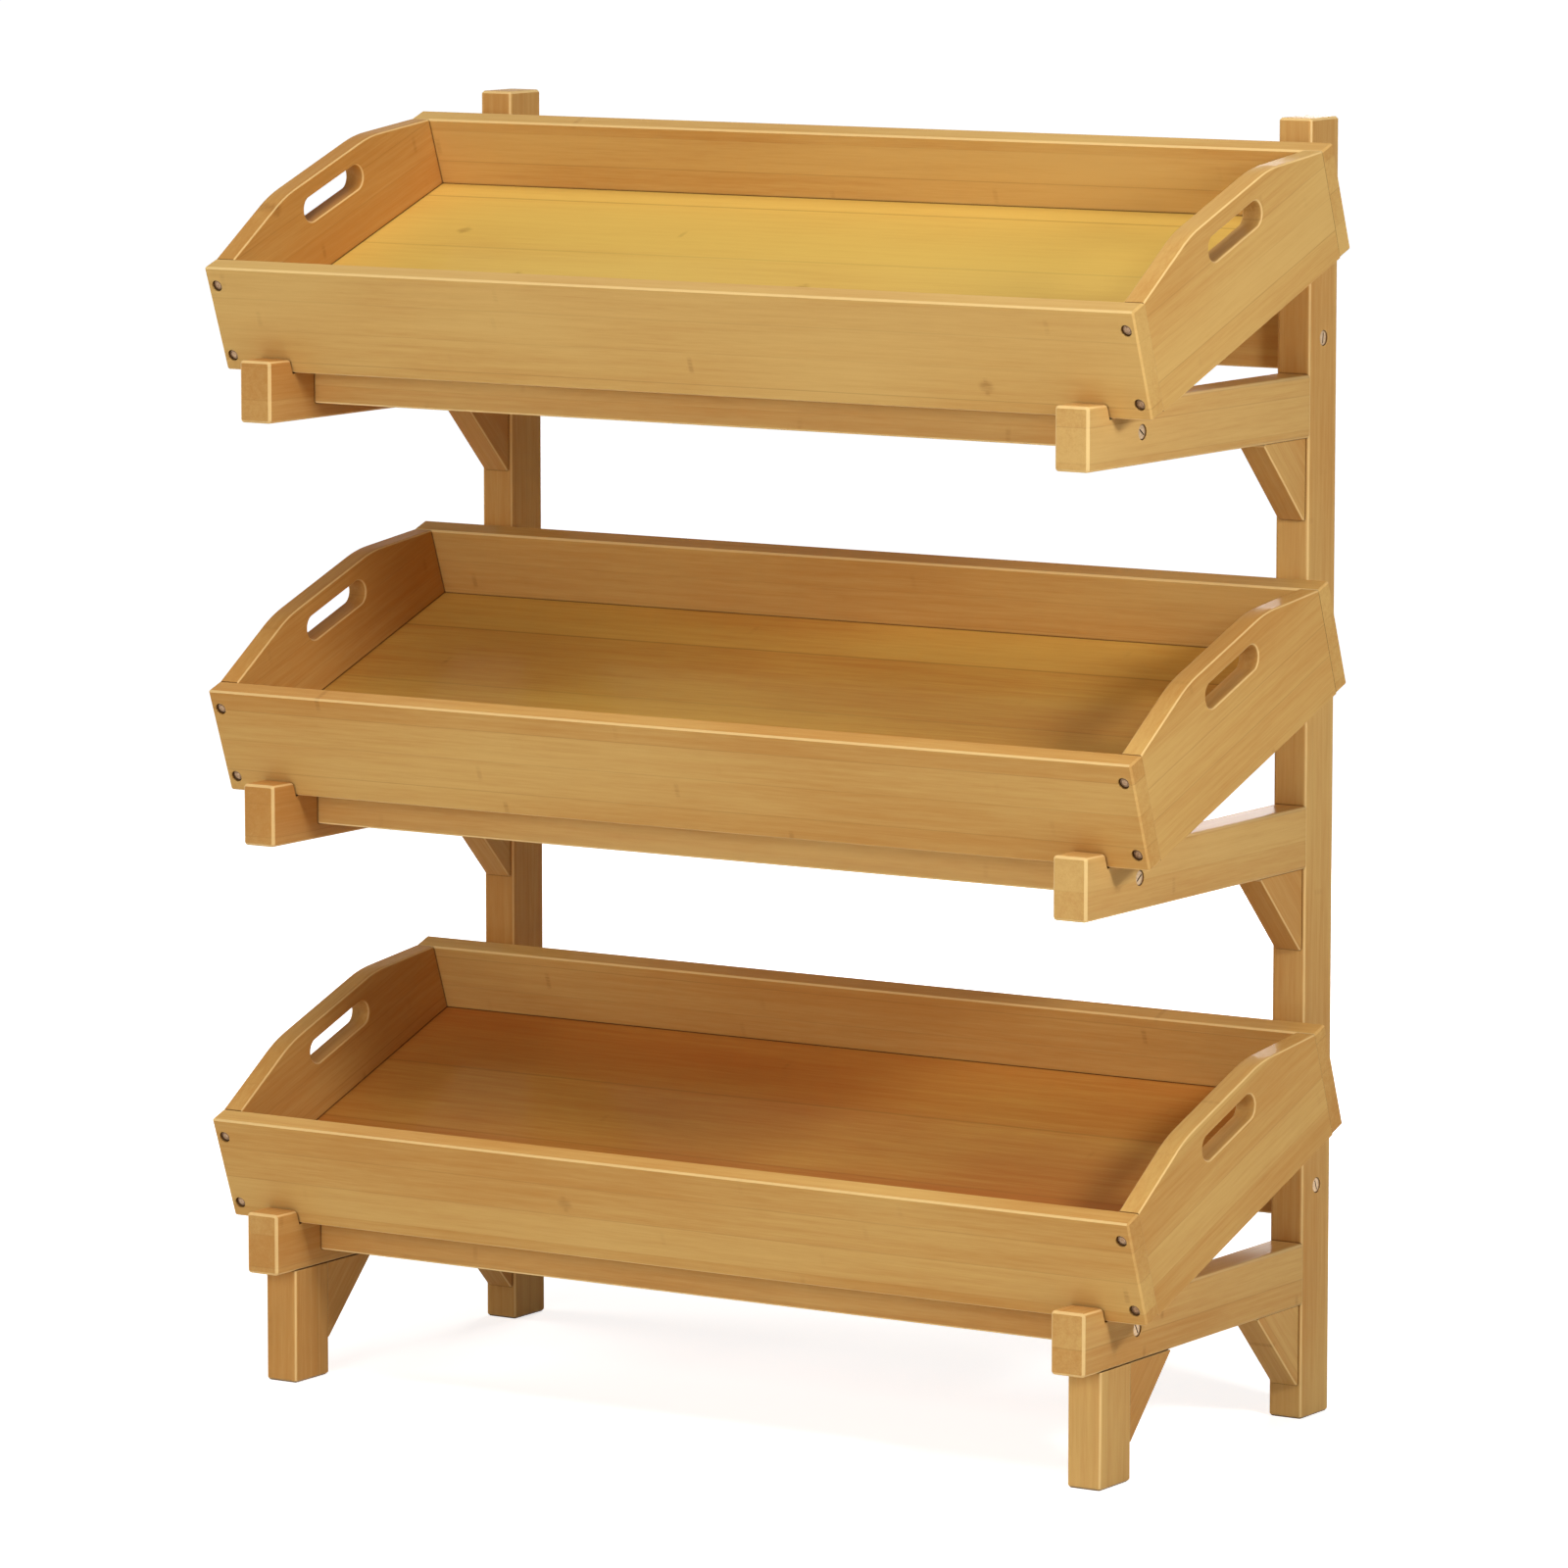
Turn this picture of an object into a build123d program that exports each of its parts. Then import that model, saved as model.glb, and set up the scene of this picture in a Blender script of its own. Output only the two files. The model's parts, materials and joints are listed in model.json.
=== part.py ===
from build123d import *
import os
from collections import namedtuple
from math import cos, radians, sin, tan

# A three-tier wooden fruit stand. Two side frames of posts, arms and short front legs are tied
# together by rails, and three tilted trays drop into notches in the arms and lift out again.
# Millimetres, +Z up, +Y towards the posts, origin on the floor below the middle of the stand.

# Side frames
FRAME_WIDTH = 790.0
POST_WIDTH = 30.0
POST_DEPTH = 45.0
POST_RISE = 201.0
ARM_HEIGHT = 50.0
LEG_DEPTH = 45.0
LEG_SETBACK = 25.5
EDGE_RADIUS = 3.0
END_EASE = 2.0

# Heights of the tiers, at the top of each pair of arms
LOWER_ARM_TOP = 143.0
MIDDLE_SPACING = 351.5
UPPER_SPACING = 342.5

# Notch in each arm, cut square to the tilted tray
TRAY_TILT = 20.0
STOP_LENGTH = 27.0
NOTCH_DEPTH = 12.5
FRONT_PLAY = 2.0
REAR_PLAY = 1.0
SEAT_GAP = 0.3

# Stub tenons of arms and legs
TENON_THICKNESS = 12.0
TENON_SHOULDER = 10.0
ARM_TENON_LENGTH = 25.0
LEG_TENON_LENGTH = 18.0
FIT = 0.2

# Gussets under the arms
GUSSET_SIDE = 65.0
GUSSET_THICKNESS = 24.0
LEG_GUSSET_SIDE = 62.0
GUSSET_NOSE = 2.5
GUSSET_EASE = 1.2

# Rails between the side frames
FRONT_RAIL_DEPTH = 40.0
FRONT_RAIL_HEIGHT = 25.0
FRONT_RAIL_SETBACK = 61.0
REAR_RAIL_DEPTH = 24.0
REAR_RAIL_HEIGHT = 50.0
UPPER_REAR_RAIL_RISE = 27.5
LOWER_REAR_RAIL_RISE = 44.0
RAIL_EASE = 1.5

# Ledges let into the posts, which carry the back edge of each tray
LEDGE_DEPTH = 18.0
LEDGE_HEIGHT = 21.0
LEDGE_LET_IN = 6.0
LEDGE_END_INSET = 6.0

# Trays
TRAY_OVERHANG = 36.5
TRAY_DEPTH = 327.4
BOARD_HEIGHT = 90.0
BOARD_THICKNESS = 18.0
BOARD_EASE = 1.5
RIM_EASE = 1.2
END_RISE = 20.0
HUMP_LENGTH = 127.0
HUMP_RADIUS = 120.0
SLOT_LENGTH = 86.0
SLOT_HEIGHT = 20.5
SLOT_DROP = 24.5
PANEL_THICKNESS = 12.0
PANEL_RISE = 20.5
GROOVE_DEPTH = 6.0

# Tray screws
TRAY_SCREW_HEAD_RADIUS = 4.3
TRAY_SCREW_HEAD_HEIGHT = 3.0
TRAY_SCREW_SHANK_RADIUS = 2.0
TRAY_SCREW_LENGTH = 45.0
TRAY_SCREW_SINK = 1.8
TRAY_SCREW_RECESS_GAP = 0.6
TRAY_SCREW_LOW_MARGIN = 13.0
TRAY_SCREW_TOP_MARGIN = 16.0

# Rail screws
RAIL_SCREW_HEAD_RADIUS = 6.0
RAIL_SCREW_HEAD_HEIGHT = 4.0
RAIL_SCREW_SHANK_RADIUS = 3.0
RAIL_SCREW_LENGTH = 65.0
RAIL_SCREW_SINK = 0.8
RAIL_SCREW_RECESS_GAP = 0.3

# Screws are drawn with few sides, as there are many of them
HEAD_SIDES = 12
SHANK_SIDES = 6

# Sizes and places that follow from the ones above
TILT = radians(TRAY_TILT)
ALONG_TRAY = (0.0, cos(TILT), sin(TILT))
TOWARDS_FRONT = (0.0, -cos(TILT), -sin(TILT))
ARM_REACH = (
    STOP_LENGTH
    + NOTCH_DEPTH * tan(TILT)
    + (FRONT_PLAY + TRAY_DEPTH) * cos(TILT)
    - SEAT_GAP * sin(TILT)
    + REAR_PLAY
)
ARM_FRONT = -(ARM_REACH + POST_DEPTH) / 2
POST_FRONT = ARM_FRONT + ARM_REACH
POST_Y = POST_FRONT + POST_DEPTH / 2
LEG_Y = ARM_FRONT + LEG_SETBACK + LEG_DEPTH / 2
NOTCH_Y = ARM_FRONT + STOP_LENGTH + NOTCH_DEPTH * tan(TILT)
FRONT_RAIL_Y = ARM_FRONT + FRONT_RAIL_SETBACK + FRONT_RAIL_DEPTH / 2
SIDE_X = (FRAME_WIDTH - POST_WIDTH) / 2
RAIL_LENGTH = FRAME_WIDTH - 2 * POST_WIDTH
LEG_HEIGHT = LOWER_ARM_TOP - ARM_HEIGHT
STICK_RADIUS = min(EDGE_RADIUS, 0.4 * POST_WIDTH)
TRAY_WIDTH = FRAME_WIDTH + 2 * TRAY_OVERHANG
END_BOARD_X = (TRAY_WIDTH - BOARD_THICKNESS) / 2
PANEL_WIDTH = TRAY_WIDTH - 2 * BOARD_THICKNESS + 2 * GROOVE_DEPTH
PANEL_DEPTH = TRAY_DEPTH - 2 * BOARD_THICKNESS + 2 * GROOVE_DEPTH

MIDDLE_ARM_TOP = LOWER_ARM_TOP + MIDDLE_SPACING
UPPER_ARM_TOP = MIDDLE_ARM_TOP + UPPER_SPACING
POST_HEIGHT = UPPER_ARM_TOP + POST_RISE
ARM_TOPS = {"upper": UPPER_ARM_TOP, "middle": MIDDLE_ARM_TOP, "lower": LOWER_ARM_TOP}
REAR_RAIL_HEIGHTS = {
    "upper": UPPER_ARM_TOP + UPPER_REAR_RAIL_RISE,
    "lower": LOWER_ARM_TOP + LOWER_REAR_RAIL_RISE,
}
SIDES = {"left": -1, "right": 1}


def save(piece, name):
    """Label a finished piece and write it under its own name."""
    piece.part.label = name
    export_step(piece.part, f"parts/{name}.step")


# Places


def seat_plane(arm_top, x):
    """Section plane with its origin in the notch's corner, x along the tray and y square to it."""
    return Plane(origin=(x, NOTCH_Y, arm_top - NOTCH_DEPTH), x_dir=ALONG_TRAY, z_dir=(1, 0, 0))


def tray_plane(arm_top, x=0.0):
    """Section plane with its origin at the tray's lower front corner."""
    corner = seat_plane(arm_top, x).from_local_coords((FRONT_PLAY, SEAT_GAP, 0))
    return Plane(origin=corner, x_dir=ALONG_TRAY, z_dir=(1, 0, 0))


def seat_height(arm_top, y):
    """Height at y of the slanted plane that the notches and the ledge share."""
    return arm_top - NOTCH_DEPTH + (y - NOTCH_Y) * tan(TILT)


def arm_root_plane(arm_top, x):
    """Plane where an arm meets the front of its post, facing forwards."""
    return Plane(origin=(x, POST_FRONT, arm_top - ARM_HEIGHT / 2), x_dir=(1, 0, 0), z_dir=(0, -1, 0))


def side_planes(y, z):
    """The same spot on the left and right outer faces of the frame, facing outwards."""
    return [
        Plane(origin=(side * FRAME_WIDTH / 2, y, z), x_dir=(0, side, 0), z_dir=(side, 0, 0))
        for side in SIDES.values()
    ]


def front_rail_screw_planes(arm_top):
    return side_planes(FRONT_RAIL_Y, arm_top - ARM_HEIGHT / 2)


def tray_screw_planes(arm_top):
    """Screw places on the outside of a tray's front and back boards, two at each corner."""
    tray = tray_plane(arm_top)
    return [
        Plane(origin=tray.from_local_coords((u, v, side * END_BOARD_X)), x_dir=(1, 0, 0), z_dir=outwards)
        for u, outwards in ((0.0, TOWARDS_FRONT), (TRAY_DEPTH, ALONG_TRAY))
        for v in (TRAY_SCREW_LOW_MARGIN, BOARD_HEIGHT - TRAY_SCREW_TOP_MARGIN)
        for side in SIDES.values()
    ]


# Screws and the holes that they fill


Screw = namedtuple("Screw", "head_radius head_height shank_radius length sink recess_gap")


def make_screws(planes, screw):
    """One screw driven into each plane, its head sunk below the surface."""
    with BuildPart() as screws:
        with BuildSketch(*[plane.offset(-screw.sink) for plane in planes]):
            RegularPolygon(screw.head_radius, HEAD_SIDES)
        extrude(amount=-screw.head_height)
        with BuildSketch(*[plane.offset(-screw.sink - screw.head_height) for plane in planes]):
            RegularPolygon(screw.shank_radius, SHANK_SIDES)
        extrude(amount=screw.head_height - screw.length)
    return screws


def screw_holes(planes, screw):
    """The recess for each head, with a gap round it, and the hole for each shank."""
    with BuildPart() as holes:
        with BuildSketch(*planes):
            RegularPolygon(screw.head_radius + screw.recess_gap, HEAD_SIDES)
        extrude(amount=-screw.sink - screw.head_height)
        with BuildSketch(*planes):
            RegularPolygon(screw.shank_radius + FIT, SHANK_SIDES)
        extrude(amount=-screw.sink - screw.length - FIT)
    return holes.part


TRAY_SCREW = Screw(
    TRAY_SCREW_HEAD_RADIUS,
    TRAY_SCREW_HEAD_HEIGHT,
    TRAY_SCREW_SHANK_RADIUS,
    TRAY_SCREW_LENGTH,
    TRAY_SCREW_SINK,
    TRAY_SCREW_RECESS_GAP,
)
RAIL_SCREW = Screw(
    RAIL_SCREW_HEAD_RADIUS,
    RAIL_SCREW_HEAD_HEIGHT,
    RAIL_SCREW_SHANK_RADIUS,
    RAIL_SCREW_LENGTH,
    RAIL_SCREW_SINK,
    RAIL_SCREW_RECESS_GAP,
)
REAR_RAIL_SCREW_PLANES = [p for z in REAR_RAIL_HEIGHTS.values() for p in side_planes(POST_Y, z)]
FRONT_RAIL_SCREW_PLANES = [p for top in ARM_TOPS.values() for p in front_rail_screw_planes(top)]


# Side frames


def make_ledge(arm_top, growth=0.0):
    """A ledge across the posts with its top planed to the tray's tilt."""
    front = POST_FRONT - LEDGE_DEPTH
    back = POST_FRONT + LEDGE_LET_IN
    low = seat_height(arm_top, front) - LEDGE_HEIGHT
    with BuildPart() as ledge:
        with BuildSketch(Plane.YZ):
            with BuildLine():
                Polyline(
                    (front, low),
                    (back, low),
                    (back, seat_height(arm_top, back)),
                    (front, seat_height(arm_top, front)),
                    close=True,
                )
            make_face()
            if growth:
                offset(amount=growth, kind=Kind.INTERSECTION)
        extrude(amount=FRAME_WIDTH / 2 - LEDGE_END_INSET + growth, both=True)
    return ledge


def make_post(x):
    """A rear post with mortises for the arms, housings for the ledges and rail screw holes."""
    with BuildPart() as post:
        with BuildSketch(Plane((x, POST_Y, 0))):
            RectangleRounded(POST_WIDTH, POST_DEPTH, STICK_RADIUS)
        extrude(amount=POST_HEIGHT)
        ends = post.faces().filter_by(Axis.Z)
        chamfer(ends.edges(), END_EASE)
        for arm_top in ARM_TOPS.values():
            with BuildSketch(arm_root_plane(arm_top, x)):
                Rectangle(TENON_THICKNESS + 2 * FIT, ARM_HEIGHT - 2 * TENON_SHOULDER + 2 * FIT)
            extrude(amount=-ARM_TENON_LENGTH - FIT, mode=Mode.SUBTRACT)
            add(make_ledge(arm_top, FIT).part, mode=Mode.SUBTRACT)
        add(screw_holes(REAR_RAIL_SCREW_PLANES, RAIL_SCREW), mode=Mode.SUBTRACT)
    return post


def make_arm(arm_top, x, carries_leg):
    """An arm with its tenon, rounded front end and the notch that stops the tray."""
    with BuildPart() as arm:
        with BuildSketch(arm_root_plane(arm_top, x)):
            RectangleRounded(POST_WIDTH, ARM_HEIGHT, STICK_RADIUS)
        extrude(amount=ARM_REACH)
        chamfer(arm.faces().sort_by(Axis.Y)[0].edges(), END_EASE)
        with BuildSketch(arm_root_plane(arm_top, x)):
            Rectangle(TENON_THICKNESS, ARM_HEIGHT - 2 * TENON_SHOULDER)
        extrude(amount=-ARM_TENON_LENGTH)
        with BuildSketch(seat_plane(arm_top, x)):
            with BuildLine():
                Polyline((0, 0), (2 * NOTCH_DEPTH / sin(TILT), 0), (0, 2 * NOTCH_DEPTH / cos(TILT)), close=True)
            make_face()
        extrude(amount=POST_WIDTH, both=True, mode=Mode.SUBTRACT)
        if carries_leg:
            with BuildSketch(Plane((x, LEG_Y, LEG_HEIGHT))):
                Rectangle(TENON_THICKNESS + 2 * FIT, LEG_DEPTH - 2 * TENON_SHOULDER + 2 * FIT)
            extrude(amount=LEG_TENON_LENGTH + FIT, mode=Mode.SUBTRACT)
        add(screw_holes(front_rail_screw_planes(arm_top), RAIL_SCREW), mode=Mode.SUBTRACT)
    return arm


def make_leg(x):
    """A short front leg, square behind where its gusset lies flush, with a tenon up into the arm."""
    with BuildPart() as leg:
        with BuildSketch(Plane((x, LEG_Y, 0))) as section:
            Rectangle(POST_WIDTH, LEG_DEPTH)
            fillet(section.vertices().group_by(Axis.Y)[0], STICK_RADIUS)
        extrude(amount=LEG_HEIGHT)
        chamfer(leg.faces().sort_by(Axis.Z)[0].edges(), END_EASE)
        with BuildSketch(Plane((x, LEG_Y, LEG_HEIGHT))):
            Rectangle(TENON_THICKNESS, LEG_DEPTH - 2 * TENON_SHOULDER)
        extrude(amount=LEG_TENON_LENGTH)
    return leg


def make_gusset(x, y, z, reach, thickness):
    """A corner block below an arm; reach is its side, negative where it points forwards."""
    drop = abs(reach)
    nose = GUSSET_NOSE * reach / drop
    with BuildPart() as gusset:
        with BuildSketch(Plane(origin=(x, y, z), x_dir=(0, 1, 0), z_dir=(1, 0, 0))):
            with BuildLine():
                Polyline((0, 0), (reach, 0), (reach, -GUSSET_NOSE), (nose, -drop), (0, -drop), close=True)
            make_face()
        extrude(amount=thickness / 2, both=True)
        slope = gusset.faces().sort_by(Axis((x, y, z), (0, reach, -drop)))[-1]
        chamfer(slope.edges().filter_by(Axis.X, reverse=True), GUSSET_EASE)
    return gusset


# Rails


def make_rail(y, z, depth, height, screw_planes):
    """A rail between the side frames with a screw hole in each end."""
    with BuildPart() as rail:
        with BuildSketch(Plane(origin=(0, y, z), x_dir=(0, 1, 0), z_dir=(1, 0, 0))):
            Rectangle(depth, height)
        extrude(amount=RAIL_LENGTH / 2, both=True)
        chamfer(rail.edges().filter_by(Axis.X), RAIL_EASE)
        add(screw_holes(screw_planes, RAIL_SCREW), mode=Mode.SUBTRACT)
    return rail


# Trays


def make_panel(arm_top, growth=0.0):
    """A tray's bottom panel, or with growth the groove that takes it."""
    with BuildPart() as panel:
        with BuildSketch(tray_plane(arm_top)):
            with Locations((TRAY_DEPTH / 2, PANEL_RISE + PANEL_THICKNESS / 2)):
                Rectangle(PANEL_DEPTH + 2 * growth, PANEL_THICKNESS + 2 * growth)
        extrude(amount=PANEL_WIDTH / 2 + growth, both=True)
    return panel


def make_long_board(arm_top, u):
    """A front or back board, full width, grooved for the panel and bored for its screws."""
    plane = tray_plane(arm_top)
    tray_middle = Plane(plane.from_local_coords((TRAY_DEPTH / 2, 0, 0)), z_dir=ALONG_TRAY)
    with BuildPart() as board:
        with BuildSketch(plane):
            with Locations((u, BOARD_HEIGHT / 2)):
                Rectangle(BOARD_THICKNESS, BOARD_HEIGHT)
        extrude(amount=TRAY_WIDTH / 2, both=True)
        # The two upright edges that butt against the end boards stay square
        upright = board.edges().filter_by(Axis(plane.origin, plane.y_dir))
        seams = upright.sort_by(lambda edge: abs(tray_middle.to_local_coords(edge.center()).Z))[:2]
        chamfer(board.edges() - seams, BOARD_EASE)
        add(make_panel(arm_top, FIT).part, mode=Mode.SUBTRACT)
        add(screw_holes(tray_screw_planes(arm_top), TRAY_SCREW), mode=Mode.SUBTRACT)
    return board


def make_end_board(arm_top, side):
    """An end board that rises in the middle to a hand slot."""
    plane = tray_plane(arm_top, side * END_BOARD_X)
    front = BOARD_THICKNESS
    back = TRAY_DEPTH - BOARD_THICKNESS
    middle = TRAY_DEPTH / 2
    top = BOARD_HEIGHT + END_RISE
    with BuildPart() as board:
        with BuildSketch(plane) as outline:
            with BuildLine():
                Polyline(
                    (front, 0),
                    (back, 0),
                    (back, BOARD_HEIGHT),
                    (middle + HUMP_LENGTH / 2, top),
                    (middle - HUMP_LENGTH / 2, top),
                    (front, BOARD_HEIGHT),
                    close=True,
                )
            make_face()
            fillet(outline.vertices().group_by(Axis.Y)[-1], HUMP_RADIUS)
            with Locations((middle, top - SLOT_DROP)):
                SlotOverall(SLOT_LENGTH, SLOT_HEIGHT, mode=Mode.SUBTRACT)
        extrude(amount=BOARD_THICKNESS / 2, both=True)
        rims = board.faces().filter_by(Axis.X).edges()
        upper_rims = rims.filter_by(lambda rim: plane.to_local_coords(rim.center()).Y > 0.6 * BOARD_HEIGHT)
        chamfer(upper_rims, RIM_EASE)
        add(make_panel(arm_top, FIT).part, mode=Mode.SUBTRACT)
        add(screw_holes(tray_screw_planes(arm_top), TRAY_SCREW), mode=Mode.SUBTRACT)
    return board


# Build every piece

os.makedirs("parts", exist_ok=True)

for hand, side in SIDES.items():
    frame_x = side * SIDE_X
    save(make_post(frame_x), f"{hand}_post")
    save(make_leg(frame_x), f"{hand}_front_leg")
    leg_gusset = make_gusset(frame_x, LEG_Y + LEG_DEPTH / 2, LEG_HEIGHT, LEG_GUSSET_SIDE, POST_WIDTH)
    save(leg_gusset, f"{hand}_leg_gusset")
    for tier, arm_top in ARM_TOPS.items():
        save(make_arm(arm_top, frame_x, tier == "lower"), f"{tier}_{hand}_arm")
        gusset = make_gusset(frame_x, POST_FRONT, arm_top - ARM_HEIGHT, -GUSSET_SIDE, GUSSET_THICKNESS)
        save(gusset, f"{tier}_{hand}_gusset")

for tier, height in REAR_RAIL_HEIGHTS.items():
    rear_rail = make_rail(POST_Y, height, REAR_RAIL_DEPTH, REAR_RAIL_HEIGHT, REAR_RAIL_SCREW_PLANES)
    save(rear_rail, f"{tier}_rear_rail")

for tier, arm_top in ARM_TOPS.items():
    front_rail = make_rail(
        FRONT_RAIL_Y,
        arm_top - ARM_HEIGHT / 2,
        FRONT_RAIL_DEPTH,
        FRONT_RAIL_HEIGHT,
        front_rail_screw_planes(arm_top),
    )
    save(front_rail, f"{tier}_front_rail")
    save(make_ledge(arm_top), f"{tier}_tray_ledge")
    save(make_long_board(arm_top, BOARD_THICKNESS / 2), f"{tier}_tray_front_board")
    save(make_long_board(arm_top, TRAY_DEPTH - BOARD_THICKNESS / 2), f"{tier}_tray_back_board")
    save(make_panel(arm_top), f"{tier}_tray_bottom_panel")
    save(make_screws(tray_screw_planes(arm_top), TRAY_SCREW), f"{tier}_tray_screws")
    for hand, side in SIDES.items():
        save(make_end_board(arm_top, side), f"{tier}_tray_{hand}_end_board")

save(make_screws(FRONT_RAIL_SCREW_PLANES, RAIL_SCREW), "front_rail_screws")
save(make_screws(REAR_RAIL_SCREW_PLANES, RAIL_SCREW), "rear_rail_screws")
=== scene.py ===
"""Looks of a three-tier bamboo fruit stand whose tilted trays lift out.

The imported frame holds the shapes. This script eases their edges, cuts each piece from its own
lacquered bamboo, drives the screws, and sets up a studio with the photograph's camera.
"""

import json
import logging
from collections.abc import Iterator
from dataclasses import dataclass, field
from enum import Enum
from math import cos, pi, radians, sin, tau

import bmesh
import bpy
from mathutils import Matrix, Vector


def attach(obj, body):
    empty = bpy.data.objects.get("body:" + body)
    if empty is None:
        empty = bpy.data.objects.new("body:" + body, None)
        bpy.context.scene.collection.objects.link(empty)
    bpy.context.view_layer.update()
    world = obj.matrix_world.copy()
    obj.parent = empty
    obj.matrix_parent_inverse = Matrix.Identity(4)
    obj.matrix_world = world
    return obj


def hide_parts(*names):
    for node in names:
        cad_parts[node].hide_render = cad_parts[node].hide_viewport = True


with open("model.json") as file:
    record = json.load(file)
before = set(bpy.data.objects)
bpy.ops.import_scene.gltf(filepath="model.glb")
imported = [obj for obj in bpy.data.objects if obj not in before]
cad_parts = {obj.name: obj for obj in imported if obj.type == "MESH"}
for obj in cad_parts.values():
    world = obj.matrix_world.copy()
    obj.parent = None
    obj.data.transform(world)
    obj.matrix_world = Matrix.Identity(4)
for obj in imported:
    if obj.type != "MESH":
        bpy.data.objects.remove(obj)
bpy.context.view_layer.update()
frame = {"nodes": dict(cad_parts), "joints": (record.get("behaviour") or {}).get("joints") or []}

MM = 0.001
LOG = logging.getLogger("fruit_stand")

Colour = tuple[float, float, float, float]
Point = tuple[float, float, float]
Span = tuple[float, ...]
Socket = bpy.types.NodeSocket
Value = float | Socket
Sockets = bpy.types.NodeOutputs
Inputs = dict[str | int, object]
Loop = list[bmesh.types.BMVert]

# Axes of the stand and of its tilted trays
WIDTHWAYS = Vector((1, 0, 0))
DEPTHWAYS = Vector((0, 1, 0))
UPWARDS = Vector((0, 0, 1))
LEANING_FORWARDS = (UPWARDS - DEPTHWAYS).normalized()
LEANING_BACK = (UPWARDS + DEPTHWAYS).normalized()
TRAY_LIFT = Vector(frame["joints"][0]["axis"])
ALONG_TRAY = TRAY_LIFT.cross(WIDTHWAYS)


def srgb(red: int, green: int, blue: int) -> Colour:
    """A colour as it is read on a screen, made linear.

    Args:
        red: from 0 to 255.
        green: from 0 to 255.
        blue: from 0 to 255.

    Returns:
        The linear colour, opaque.
    """
    shares = [value / 255 for value in (red, green, blue)]
    linear = [share / 12.92 if share <= 0.04045 else ((share + 0.055) / 1.055) ** 2.4 for share in shares]
    return (*linear, 1.0)


WHITE = srgb(255, 255, 255)


@dataclass(frozen=True)
class Lay:
    """The way strips run and the way they are stacked in one kind of piece, and how pale its arrises are,
    partly rubbed and partly a painted highlight.

    curved_rim is 1 where the outline is curved, and only the edges along its two sides are arrises.
    Of the two shares after it, the first is how far the arrises are paled, partly by rubbing and partly by
    painted highlight, and the second is the share of that round the cut ends.
    """

    run: Vector
    stack: Vector
    curved_rim: float = 0.0
    rub_and_highlight: float = 0.6
    end_rub_and_highlight: float = 1.0

    def turn(self) -> Point:
        """Angles that turn the stand's axes to strip, stack and thickness axes."""
        return tuple(Matrix((self.run, self.stack, self.run.cross(self.stack))).to_euler())


class Grain(Enum):
    """The lay of the strips in each kind of piece."""

    LONG_BOARD = Lay(WIDTHWAYS, TRAY_LIFT, end_rub_and_highlight=0.15)
    END_BOARD = Lay(ALONG_TRAY, TRAY_LIFT, curved_rim=1.0)
    PANEL = Lay(WIDTHWAYS, ALONG_TRAY)
    # Rails' arrises get more painted highlight, standing for floor light on their lower edges
    RAIL = Lay(WIDTHWAYS, UPWARDS, rub_and_highlight=0.95)
    ARM = Lay(DEPTHWAYS, UPWARDS)
    POST = Lay(UPWARDS, DEPTHWAYS)
    GUSSET = Lay(LEANING_FORWARDS, LEANING_BACK)
    LEG_GUSSET = Lay(LEANING_BACK, LEANING_FORWARDS)


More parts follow.
